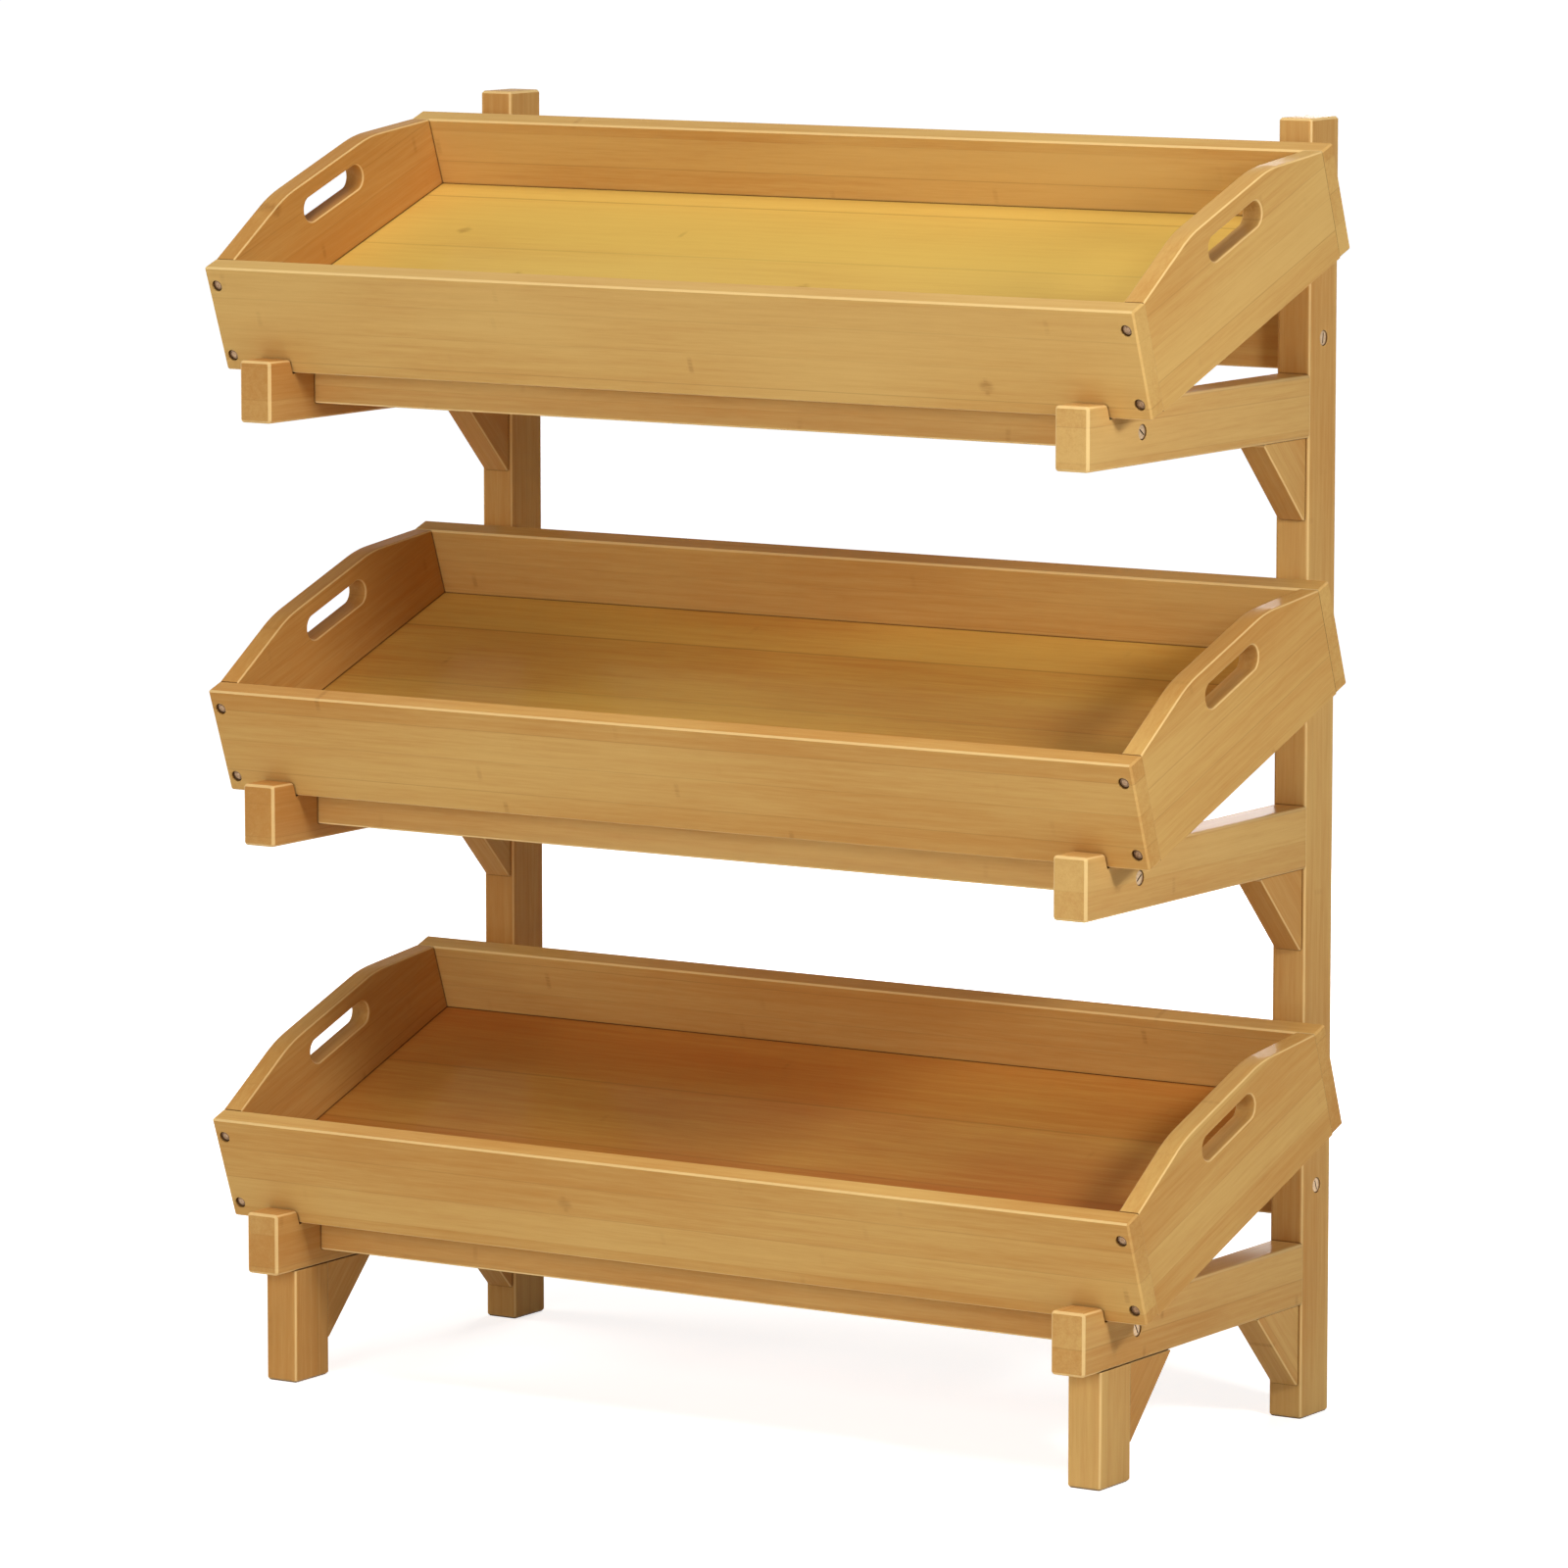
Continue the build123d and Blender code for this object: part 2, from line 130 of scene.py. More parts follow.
class Nodes:
    """Short calls for filling a node tree."""

    # Samples for the painted shade in joints, corners and recesses
    painted_shade_samples: int = 8

    def __init__(self, tree: bpy.types.NodeTree) -> None:
        """Takes the tree to fill."""
        self.tree = tree

    @classmethod
    def of(cls, owner: bpy.types.Material | bpy.types.World) -> "Nodes":
        """Empties the tree of a material or a world.

        Args:
            owner: what the tree belongs to.

        Returns:
            The tree, ready to fill.
        """
        owner.use_nodes = True
        owner.node_tree.nodes.clear()
        return cls(owner.node_tree)

    @classmethod
    def group(cls, name: str, kind: str, inputs: dict[str, str], outputs: dict[str, str]) -> "Nodes":
        """Starts a node group.

        Args:
            name: the group's name.
            kind: Blender's name for its kind of tree.
            inputs: the kind of socket that each input has.
            outputs: the kind of socket that each output has.

        Returns:
            The group, ready to fill.
        """
        tree = bpy.data.node_groups.new(name, kind)
        for way, sockets in (("INPUT", inputs), ("OUTPUT", outputs)):
            for label, socket in sockets.items():
                tree.interface.new_socket(label, in_out=way, socket_type=socket)
        return cls(tree)

    def add(self, kind: str, inputs: Inputs | None = None, **settings: object) -> bpy.types.Node:
        """Adds a node.

        Args:
            kind: Blender's name for the node.
            inputs: a value, or a socket to link from, for each input by name or number.
            settings: the node's own options.

        Returns:
            The new node.
        """
        node = self.tree.nodes.new(kind)
        for name, value in settings.items():
            setattr(node, name, value)
        for key, value in (inputs or {}).items():
            if isinstance(value, Socket):
                self.tree.links.new(value, node.inputs[key])
            else:
                node.inputs[key].default_value = value
        return node

    def math(self, operation: str, *values: Value) -> Socket:
        """One sum on numbers or sockets."""
        return self.add("ShaderNodeMath", dict(enumerate(values)), operation=operation).outputs[0]

    def rest(self, share: Value) -> Socket:
        """What a share leaves of 1."""
        return self.math("SUBTRACT", 1.0, share)

    def swing(self, noise: Socket) -> Socket:
        """Noise about 0, from noise about a half."""
        return self.math("SUBTRACT", noise, 0.5)

    def vector(self, x: Value, y: Value, z: Value) -> Socket:
        """Three numbers or sockets as one vector."""
        return self.add("ShaderNodeCombineXYZ", {"X": x, "Y": y, "Z": z}).outputs[0]

    def parts(self, vector: Socket) -> tuple[Socket, ...]:
        """A vector's three numbers."""
        return tuple(self.add("ShaderNodeSeparateXYZ", {0: vector}).outputs)

    def length(self, vector: Socket) -> Socket:
        """A vector's length."""
        return self.add("ShaderNodeVectorMath", {0: vector}, operation="LENGTH").outputs["Value"]

    def fade(self, value: Value, near: Value, far: Value, start: float = 1.0, end: float = 0.0) -> Socket:
        """A smooth step from start at near to end at far."""
        inputs = {"Value": value, "From Min": near, "From Max": far, "To Min": start, "To Max": end}
        return self.add("ShaderNodeMapRange", inputs, interpolation_type="SMOOTHSTEP").outputs[0]

    def mix(self, share: Value, first: Colour | Socket, second: Colour | Socket) -> Socket:
        """Two colours mixed by a share."""
        inputs = {0: share, 6: first, 7: second}
        return self.add("ShaderNodeMix", inputs, data_type="RGBA", blend_type="MIX").outputs[2]

    def noise(self, vector: Socket, detail: float, roughness: float = 0.5) -> Socket:
        """Noise about a half, on a vector that is already scaled."""
        inputs = {"Vector": vector, "Scale": 1.0, "Detail": detail, "Roughness": roughness}
        return self.add("ShaderNodeTexNoise", inputs).outputs[0]

    def chance(self, vector: Socket) -> tuple[Socket, ...]:
        """Three random numbers from 0 to 1 that depend on a vector alone."""
        return self.parts(self.add("ShaderNodeTexWhiteNoise", {"Vector": vector}).outputs["Color"])

    def painted_shade(self, reach: float, shade: Span) -> Socket:
        """How much painted shade a point takes, from how far it is closed in by what stands within reach of
        it.
        """
        air = self.add("ShaderNodeAmbientOcclusion", {"Distance": reach}, samples=self.painted_shade_samples)
        return self.fade(air.outputs["AO"], *shade)


@dataclass(frozen=True)
class Fibres:
    """Noise drawn out along a strip: its scales along and across, and how far it sways the colour."""

    along: float
    across: float
    detail: float
    sway: float


@dataclass
class StripPoint:
    """Where a shaded point lies among the strips, as sockets.

    along, across and depth are in metres, and stack counts strips: number is the strip's own, and
    within is from 0 to 1 across it. tone and start are drawn for the strip, and run is the place
    along the bamboo that it was cut from.
    """

    along: Socket
    across: Socket
    depth: Socket
    stack: Socket
    number: Socket
    within: Socket
    tone: Socket
    run: Socket
    start: Socket


@dataclass
class StripPattern:
    """The shader group of laminated strips, with their fibres, marks, cut ends, and arrises paled partly by
    rubbing and partly by painted highlight.

    It works in strip axes: along the strips, across the stack, and depth. A span is what a smooth
    step takes, or a factor with what is added to it.
    """

    name: str = "laminated_strips"

    # Factors on the seed that keep the draws for different things apart
    stack_key: float = 17.3
    tone_key: float = 91.0
    seam_key: float = 57.0
    drift_key: float = 23.0
    mark_key: float = 13.0

    # Strips, the seams between them, fibres at three scales, and a slow drift through the piece
    strip_shift: float = 4.0
    least_seam: float = 0.05
    fine: Fibres = Fibres(14.0, 1500.0, 2.0, sway=0.3)
    fibre: Fibres = Fibres(38.0, 520.0, 2.0, sway=0.4)
    streak: Fibres = Fibres(7.0, 210.0, 4.0, sway=0.75)
    drift: Fibres = Fibres(2.6, 7.0, 2.0, sway=1.5)
    fibre_roughness: float = 0.6

    # Marks: short cross lines, and now and then an oval knot
    mark_along: Span = (0.6, 0.2)
    mark_across: Span = (0.4, 0.3)
    line_along: Span = (0.8 * MM, 3.2 * MM)
    line_across: Span = (3.0 * MM, 9.0 * MM)
    line_rarity: float = 2.0
    knot_squeeze: float = 1.25
    knot_radius: Span = (2.0 * MM, 9.0 * MM)
    knot_chance: Span = (0.93, 0.94, 0.0, 1.0)
    mark_tone: Span = (0.3, 0.7, 0.14, 0.46)

    # Colour from pale to amber
    strip_sway: float = 0.34
    stack_face: Span = (0.3, 0.6)
    even_mix: float = 0.5
    tone_reach: Span = (-0.2, 1.2, 0.0, 1.0)

    # Dots on cut ends
    end_face: Span = (0.72, 0.95, 0.0, 1.0)
    dot_scale: float = 900.0
    dot_edge: Span = (0.1, 0.45)
    dot_tone: Span = (0.1, 0.02)

    # Arrises, which face neither way squarely, paled partly by rubbing and partly by painted highlight
    square_face: Span = (0.8, 0.94)
    end_arris: Span = (0.3, 0.5, 0.0, 1.0)

    # Surface under the lacquer
    roughness: Span = (0.14, 0.36)
    streak_height: float = 0.5
    fine_height: float = 0.35
    seam_depth: float = 0.4

    def tree(self) -> bpy.types.NodeTree:
        """The group, made when it is first asked for.

        Returns:
            The shader group's tree.
        """
        if self.name not in bpy.data.node_groups:
            vectors = ("Place", "Facing")
            numbers = (
                "Curved Rim", "Rub And Highlight", "End Rub And Highlight", "Seed", "Strip Width", "Seam Width",
                "Seam Spread", "Seam Tone", "Knot Spacing", "Contrast", "Warmth",
            )
            colours = ("Pale", "Amber", "Knot", "Edge")
            inputs = dict.fromkeys(vectors, "NodeSocketVector")
            inputs |= dict.fromkeys(numbers, "NodeSocketFloat")
            inputs |= dict.fromkeys(colours, "NodeSocketColor")
            outputs = {"Colour": "NodeSocketColor"}
            outputs |= dict.fromkeys(("Roughness", "Height"), "NodeSocketFloat")
            self.fill(Nodes.group(self.name, "ShaderNodeTree", inputs, outputs))
        return bpy.data.node_groups[self.name]

    def point(self, nodes: Nodes, given: Sockets) -> StripPoint:
        """Lays strips side by side, each with its own tone and its own place along the bamboo.

        Args:
            nodes: the group.
            given: the group's inputs.

        Returns:
            Where the shaded point lies.
        """
        along, across, depth = nodes.parts(given["Place"])
        strips = nodes.math("DIVIDE", across, given["Strip Width"])
        stack = nodes.math("MULTIPLY_ADD", given["Seed"], self.stack_key, strips)
        number = nodes.math("FLOOR", stack)
        key = nodes.math("MULTIPLY", given["Seed"], self.tone_key)
        tone, shift, start = nodes.chance(nodes.vector(number, key, 0.0))
        run = nodes.math("MULTIPLY_ADD", shift, self.strip_shift, along)
        return StripPoint(along, across, depth, stack, number, nodes.math("FRACT", stack), tone, run, start)

    def seam(self, nodes: Nodes, given: Sockets, point: StripPoint) -> tuple[Socket, Socket]:
        """The seam between two strips, some tighter than others.

        Args:
            nodes: the group.
            given: the group's inputs.
            point: where the shaded point lies.

        Returns:
            How far the point is in the seam, and how dark that seam is.
        """
        nearer = nodes.math("MINIMUM", point.within, nodes.rest(point.within))
        off = nodes.math("MULTIPLY", nearer, given["Strip Width"])
        key = nodes.math("MULTIPLY", given["Seed"], self.seam_key)
        draw = nodes.chance(nodes.vector(nodes.math("ROUND", point.stack), key, 1.0))[0]
        openness = nodes.math("POWER", draw, given["Seam Spread"])
        tone = nodes.math("MULTIPLY_ADD", openness, given["Seam Tone"], self.least_seam)
        return nodes.fade(off, 0.0, given["Seam Width"]), tone

    def drawn_out(self, nodes: Nodes, point: StripPoint, fibres: Fibres) -> Socket:
        """One scale of fibres, which run along the strip.

        Args:
            nodes: the group.
            point: where the shaded point lies.
            fibres: the scale.

        Returns:
            The noise.
        """
        along = nodes.math("MULTIPLY", point.run, fibres.along)
        across = nodes.math("MULTIPLY", point.across, fibres.across)
        depth = nodes.math("MULTIPLY", point.depth, fibres.across)
        return nodes.noise(nodes.vector(along, across, depth), fibres.detail, self.fibre_roughness)

    def drifting(self, nodes: Nodes, given: Sockets, point: StripPoint) -> Socket:
        """The slow drift through the whole piece, whatever its strips.

        Args:
            nodes: the group.
            given: the group's inputs.
            point: where the shaded point lies.

        Returns:
            The noise.
        """
        along = nodes.math("MULTIPLY", point.along, self.drift.along)
        along = nodes.math("MULTIPLY_ADD", given["Seed"], self.drift_key, along)
        across = nodes.math("MULTIPLY", point.across, self.drift.across)
        depth = nodes.math("MULTIPLY", point.depth, self.drift.across)
        return nodes.noise(nodes.vector(along, across, depth), self.drift.detail)

    @staticmethod
    def offset(nodes: Nodes, share: Socket, draw: Socket, spread: Span, size: Socket) -> Socket:
        """How far a point is from a drawn place, one way.

        Args:
            nodes: the group.
            share: the point's place, from 0 to 1.
            draw: a random number from 0 to 1.
            spread: the room that the drawn place has, and where the room starts.
            size: the length that 1 stands for.

        Returns:
            The distance in metres.
        """
        off = nodes.math("SUBTRACT", share, nodes.math("MULTIPLY_ADD", draw, *spread))
        return nodes.math("ABSOLUTE", nodes.math("MULTIPLY", off, size))

    def mark(self, nodes: Nodes, given: Sockets, point: StripPoint, fibre: Socket) -> Socket:
        """The one mark on each stretch of a strip.

        Args:
            nodes: the group.
            given: the group's inputs.
            point: where the shaded point lies.
            fibre: noise that breaks the mark up.

        Returns:
            How far the point is in the mark.
        """
        spacing = given["Knot Spacing"]
        stretch = nodes.math("ADD", nodes.math("DIVIDE", point.run, spacing), point.start)
        key = nodes.math("MULTIPLY", given["Seed"], self.mark_key)
        cell = nodes.vector(point.number, nodes.math("FLOOR", stretch), key)
        strength, slide, spot = nodes.chance(cell)
        along = self.offset(nodes, nodes.math("FRACT", stretch), slide, self.mark_along, spacing)
        across = self.offset(nodes, point.within, spot, self.mark_across, given["Strip Width"])
        line = nodes.math(
            "MULTIPLY", nodes.fade(along, *self.line_along), nodes.fade(across, *self.line_across)
        )
        line = nodes.math("MULTIPLY", line, nodes.math("POWER", strength, self.line_rarity))
        radius = nodes.length(nodes.vector(along, nodes.math("MULTIPLY", across, self.knot_squeeze), 0.0))
        oval = nodes.fade(radius, *self.knot_radius)
        knot = nodes.math("MULTIPLY", oval, nodes.fade(strength, *self.knot_chance))
        tone = nodes.fade(fibre, *self.mark_tone)
        return nodes.math("MULTIPLY", nodes.math("MAXIMUM", line, knot), tone)

    def rubbed_and_highlit(self, nodes: Nodes, given: Sockets, facing: tuple[Socket, ...]) -> Socket:
        """How pale an arris is painted, partly where sanding has thinned the lacquer and partly as a painted
        highlight.

        Args:
            nodes: the group.
            given: the group's inputs.
            facing: how far the surface faces the ends, the stack and the sides.

        Returns:
            The paling, 0 on every face that is no arris.
        """
        to_end, to_stack, to_side = facing
        square = nodes.math("MAXIMUM", to_end, to_stack)
        rounded = nodes.math("SQRT", nodes.rest(nodes.math("MULTIPLY", to_side, to_side)))
        bulge = nodes.math("SUBTRACT", rounded, square)
        outline = nodes.math("MULTIPLY_ADD", given["Curved Rim"], bulge, square)
        arris = nodes.fade(nodes.math("MAXIMUM", outline, to_side), *self.square_face)
        at_end = nodes.fade(to_end, *self.end_arris)
        spared = nodes.math("MULTIPLY", at_end, nodes.rest(given["End Rub And Highlight"]))
        rub_and_highlight = nodes.math("MULTIPLY", nodes.rest(spared), given["Rub And Highlight"])
        return nodes.math("MULTIPLY", arris, rub_and_highlight)

    def fill(self, nodes: Nodes) -> None:
        """Puts the parts of the pattern together.

        Args:
            nodes: the empty group.
        """
        given = nodes.add("NodeGroupInput").outputs
        point = self.point(nodes, given)
        seam, seam_tone = self.seam(nodes, given, point)
        fine = self.drawn_out(nodes, point, self.fine)
        fibre = self.drawn_out(nodes, point, self.fibre)
        streak = self.drawn_out(nodes, point, self.streak)
        drift = self.drifting(nodes, given, point)
        mark = self.mark(nodes, given, point, fibre)
        facing = tuple(nodes.math("ABSOLUTE", part) for part in nodes.parts(given["Facing"]))
        to_end, to_stack = facing[:2]

        # A face across the stack shows no single strip's tone
        own_tone = nodes.math("MULTIPLY", nodes.swing(point.tone), nodes.fade(to_stack, *self.stack_face))
        sway = nodes.math("MULTIPLY", own_tone, self.strip_sway)
        noises = ((drift, self.drift), (streak, self.streak), (fibre, self.fibre), (fine, self.fine))
        for noise, fibres in noises:
            sway = nodes.math("MULTIPLY_ADD", nodes.swing(noise), fibres.sway, sway)
        middle = nodes.math("ADD", given["Warmth"], self.even_mix)
        share = nodes.math("MULTIPLY_ADD", sway, given["Contrast"], middle)
        colour = nodes.mix(nodes.fade(share, *self.tone_reach), given["Pale"], given["Amber"])
        colour = nodes.mix(nodes.math("MULTIPLY", seam, seam_tone), colour, given["Knot"])
        colour = nodes.mix(mark, colour, given["Knot"])

        dots = nodes.add("ShaderNodeTexVoronoi", {"Vector": given["Place"], "Scale": self.dot_scale})
        dot = nodes.fade(dots.outputs["Distance"], *self.dot_edge)
        dotted = nodes.math("MULTIPLY_ADD", dot, *self.dot_tone)
        cut_end = nodes.fade(to_end, *self.end_face)
        colour = nodes.mix(nodes.math("MULTIPLY", cut_end, dotted), colour, given["Knot"])
        # Arrises paled toward the edge colour, partly rubbed lacquer and partly a painted highlight
        colour = nodes.mix(self.rubbed_and_highlit(nodes, given, facing), colour, given["Edge"])

        roughness = nodes.math("MULTIPLY_ADD", nodes.swing(streak), *self.roughness)
        height = nodes.math("MULTIPLY", fine, self.fine_height)
        height = nodes.math("MULTIPLY_ADD", streak, self.streak_height, height)
        height = nodes.math("SUBTRACT", height, nodes.math("MULTIPLY", seam, self.seam_depth))
        nodes.add("NodeGroupOutput", {"Colour": colour, "Roughness": roughness, "Height": height})


@dataclass(frozen=True)
class Bamboo:
    """Laminated bamboo under satin lacquer."""

    slot: str
    pale: Colour
    amber: Colour
    knot: Colour = srgb(132, 80, 34)
    # Pale colour of the arrises, partly rubbed lacquer and partly a painted highlight
    edge: Colour = srgb(244, 212, 148)
    # Colour of the painted shade in joints and inner corners
    painted_joint_shade: Colour = srgb(84, 44, 18)
    strip: float = 27.0 * MM
    seam: float = 0.8 * MM
    seam_spread: float = 3.0
    seam_tone: float = 0.22
    knot_spacing: float = 0.26
    contrast: float = 1.0
    # How far the painted shade in joints reaches, and how it fades
    painted_shade_reach: float = 2.0 * MM
    painted_shade_fade: Span = (0.45, 0.95, 0.75, 0.0)
    refraction: float = 1.46
    gloss: float = 0.006
    coat: float = 0.06
    coat_roughness: float = 0.14
    bump_depth: float = 0.2 * MM
    bump_strength: float = 0.5

    def material(self, piece: str, grain: Grain, seed: float, warmth: float) -> bpy.types.Material:
        """Cuts one piece from this bamboo.

        Args:
            piece: the piece's name, which the material takes.
            grain: how the strips lie in it.
            seed: from 0 to 1, which length of bamboo it is.
            warmth: how far the whole piece leans from pale, below 0, to amber, above 0.

        Returns:
            The piece's own material.
        """
        made = bpy.data.materials.new(f"{self.slot}_{piece}")
        nodes = Nodes.of(made)
        lay = grain.value
        turn = {"Rotation": lay.turn()}
        place = nodes.add("ShaderNodeTexCoord").outputs
        turned = nodes.add("ShaderNodeMapping", {"Vector": place["Object"]} | turn)
        facing = nodes.add("ShaderNodeMapping", {"Vector": place["Normal"]} | turn, vector_type="VECTOR")
        values = {
            "Place": turned.outputs[0],
            "Facing": facing.outputs[0],
            "Curved Rim": lay.curved_rim,
            "Rub And Highlight": lay.rub_and_highlight,
            "End Rub And Highlight": lay.end_rub_and_highlight,
            "Seed": seed,
            "Strip Width": self.strip,
            "Seam Width": self.seam,
            "Seam Spread": self.seam_spread,
            "Seam Tone": self.seam_tone,
            "Knot Spacing": self.knot_spacing,
            "Contrast": self.contrast,
            "Warmth": warmth,
            "Pale": self.pale,
            "Amber": self.amber,
            "Knot": self.knot,
            "Edge": self.edge,
        }
        cut = nodes.add("ShaderNodeGroup", values, node_tree=StripPattern().tree()).outputs
        # Painted shade: the colour darkens where other surfaces stand close, in joints and inner corners
        in_painted_shade = nodes.painted_shade(self.painted_shade_reach, self.painted_shade_fade)
        bump = nodes.add(
            "ShaderNodeBump",
            {"Height": cut["Height"], "Strength": self.bump_strength, "Distance": self.bump_depth},
        )
        shader = nodes.add(
            "ShaderNodeBsdfPrincipled",
            {
                "Base Color": nodes.mix(in_painted_shade, cut["Colour"], self.painted_joint_shade),
                "Roughness": cut["Roughness"],
                "Normal": bump.outputs[0],
                "IOR": self.refraction,
                "Specular IOR Level": self.gloss,
                "Coat Weight": self.coat,
                "Coat Roughness": self.coat_roughness,
            },
        )
        nodes.add("ShaderNodeOutputMaterial", {"Surface": shader.outputs[0]})
        return made


@dataclass(frozen=True)
class PlatedSteel:
    """Zinc-plated steel of a screw, a little dulled, with painted shade in its hollows."""

    slot: str
    bright: Colour
    dull: Colour
    # Painted shade round each head in its recess and in its ring: its colour, reach and fade
    painted_recess_shade: Colour = srgb(62, 36, 16)
    recess_shade_reach: float = 2.4 * MM
    recess_shade_fade: Span = (0.6, 0.95, 0.92, 0.0)
    cloud_scale: float = 700.0
    cloud_detail: float = 3.0
    cloud_edge: Span = (0.35, 0.65, 0.0, 1.0)
    roughness: Span = (0.2, 0.24)

    def material(self) -> bpy.types.Material:
        """The screws' material, clouded where the plating is thin.

        Returns:
            The material that all screws of this steel share.
        """
        made = bpy.data.materials.new(self.slot)
        nodes = Nodes.of(made)
        place = nodes.add("ShaderNodeTexCoord").outputs["Object"]
        scaled = nodes.add("ShaderNodeVectorMath", {0: place, "Scale": self.cloud_scale}, operation="SCALE")
        cloud = nodes.noise(scaled.outputs[0], self.cloud_detail)
        plating = nodes.mix(nodes.fade(cloud, *self.cloud_edge), self.bright, self.dull)
        # Painted shade: the head darkens near the recess walls and in its ring
        in_recess_shade = nodes.painted_shade(self.recess_shade_reach, self.recess_shade_fade)
        shader = nodes.add(
            "ShaderNodeBsdfPrincipled",
            {
                "Base Color": nodes.mix(in_recess_shade, plating, self.painted_recess_shade),
                "Roughness": nodes.math("MULTIPLY_ADD", cloud, *self.roughness),
                "Metallic": 1.0,
            },
        )
        nodes.add("ShaderNodeOutputMaterial", {"Surface": shader.outputs[0]})
        return made


FRAME_WOOD = Bamboo("frame_wood", pale=srgb(218, 178, 109), amber=srgb(192, 135, 70))
TRAY_WOOD = Bamboo("tray_wood", pale=srgb(219, 178, 106), amber=srgb(194, 136, 68))
PANEL_WOOD = Bamboo(
    "panel_wood",
    pale=srgb(226, 187, 94),
    amber=srgb(187, 114, 50),
    strip=98.0 * MM,
    seam=2.0 * MM,
    seam_spread=0.3,
    seam_tone=0.36,
    contrast=0.7,
)
TRAY_STEEL = PlatedSteel("tray_screw_steel", bright=srgb(164, 136, 108), dull=srgb(134, 106, 80))
RAIL_STEEL = PlatedSteel("rail_screw_steel", bright=srgb(206, 176, 140), dull=srgb(178, 148, 112))


# How far each tray's wood leans from pale, below 0, to amber, above 0, and that of single pieces: partly
# each piece's own tone, partly painted light, paler where lit from above and warmer where shaded
TIERS = {"upper": -0.35, "middle": -0.05, "lower": 0.0}
PIECE_WARMTH_AND_PAINTED_LIGHT = {
    "upper_tray_bottom_panel": -0.58,
    "middle_tray_bottom_panel": -0.05,
    "lower_tray_bottom_panel": 0.3,
    "middle_tray_front_board": 0.08,
    "upper_tray_left_end_board": 0.4,
    "upper_tray_right_end_board": -0.25,
    "middle_tray_left_end_board": 0.45,
    "lower_tray_left_end_board": 0.25,
    "upper_left_arm": 0.3,
    "upper_right_arm": -0.2,
    "middle_left_arm": 0.4,
    "lower_left_arm": 0.1,
    "left_post": 0.25,
    "right_post": -0.15,
    "left_front_leg": 0.3,
}
HANDS = ("left", "right")


@dataclass
class Dresser:
    """Gives carried-over nodes their eased edges and their own length of bamboo."""

    ease: float = 0.5 * MM
    ease_steps: int = 2
    weld: float = 0.01 * MM
    flat_angle: float = radians(0.5)
    edge_angle: float = radians(34)
    seed_step: float = 0.618034
    dressed: int = 0

    def dress(self, node: str, finish: Bamboo, grain: Grain, warmth: float = 0.0) -> None:
        """Finishes one node.

        Args:
            node: the node's name in the frame.
            finish: the bamboo it is made of.
            grain: how its strips lie.
            warmth: how far it leans from pale to amber, unless a warmth is listed for the node itself.
        """
        piece = frame["nodes"][node]
        self.dressed += 1
        seed = self.dressed * self.seed_step % 1.0
        warmth = PIECE_WARMTH_AND_PAINTED_LIGHT.get(node, warmth)
        piece.material_slots[0].material = finish.material(node, grain, seed, warmth)
        weld = piece.modifiers.new("weld", "WELD")
        weld.merge_threshold = self.weld
        flat = piece.modifiers.new("flat", "DECIMATE")
        flat.decimate_type = "DISSOLVE"
        flat.angle_limit = self.flat_angle
        ease = piece.modifiers.new("ease", "BEVEL")
        ease.width = self.ease
        ease.segments = self.ease_steps
        ease.limit_method = "ANGLE"
        ease.angle_limit = self.edge_angle
        ease.harden_normals = True
        LOG.info("dressed %s", node)


@dataclass
class SideFrames:
    """The two side frames: posts, arms, front legs and gussets."""

    gusset_warmth: float = 0.25

    def dress(self, dresser: Dresser) -> None:
        """Dresses every stick and block of both frames.

        Args:
            dresser: what finishes each node.
        """
        for hand in HANDS:
            dresser.dress(f"{hand}_post", FRAME_WOOD, Grain.POST)
            dresser.dress(f"{hand}_front_leg", FRAME_WOOD, Grain.POST)
            dresser.dress(f"{hand}_leg_gusset", FRAME_WOOD, Grain.LEG_GUSSET, self.gusset_warmth)
            for tier in TIERS:
                dresser.dress(f"{tier}_{hand}_arm", FRAME_WOOD, Grain.ARM)
                dresser.dress(f"{tier}_{hand}_gusset", FRAME_WOOD, Grain.GUSSET, self.gusset_warmth)


@dataclass
class Rails:
    """The rails and ledges that tie the side frames together."""

    names: tuple[str, ...] = (
        "upper_front_rail",
        "middle_front_rail",
        "lower_front_rail",
        "upper_rear_rail",
        "lower_rear_rail",
        "upper_tray_ledge",
        "middle_tray_ledge",
        "lower_tray_ledge",
    )

    def dress(self, dresser: Dresser) -> None:
        """Dresses every rail and ledge."""
        for name in self.names:
            dresser.dress(name, FRAME_WOOD, Grain.RAIL)


@dataclass
class Tray:
    """One lift-out tray."""

    tier: str
    warmth: float

    def dress(self, dresser: Dresser) -> None:
        """Dresses the tray's boards and its bottom panel.

        Args:
            dresser: what finishes each node.
        """
        for board in ("front_board", "back_board"):
            dresser.dress(f"{self.tier}_tray_{board}", TRAY_WOOD, Grain.LONG_BOARD, self.warmth)
        for hand in HANDS:
            dresser.dress(f"{self.tier}_tray_{hand}_end_board", TRAY_WOOD, Grain.END_BOARD, self.warmth)
        dresser.dress(f"{self.tier}_tray_bottom_panel", PANEL_WOOD, Grain.PANEL)


class Drive(Enum):
    """What is cut into the top of a screw's head."""

    RING = "a turned ring"
    SLOT = "a straight slot"


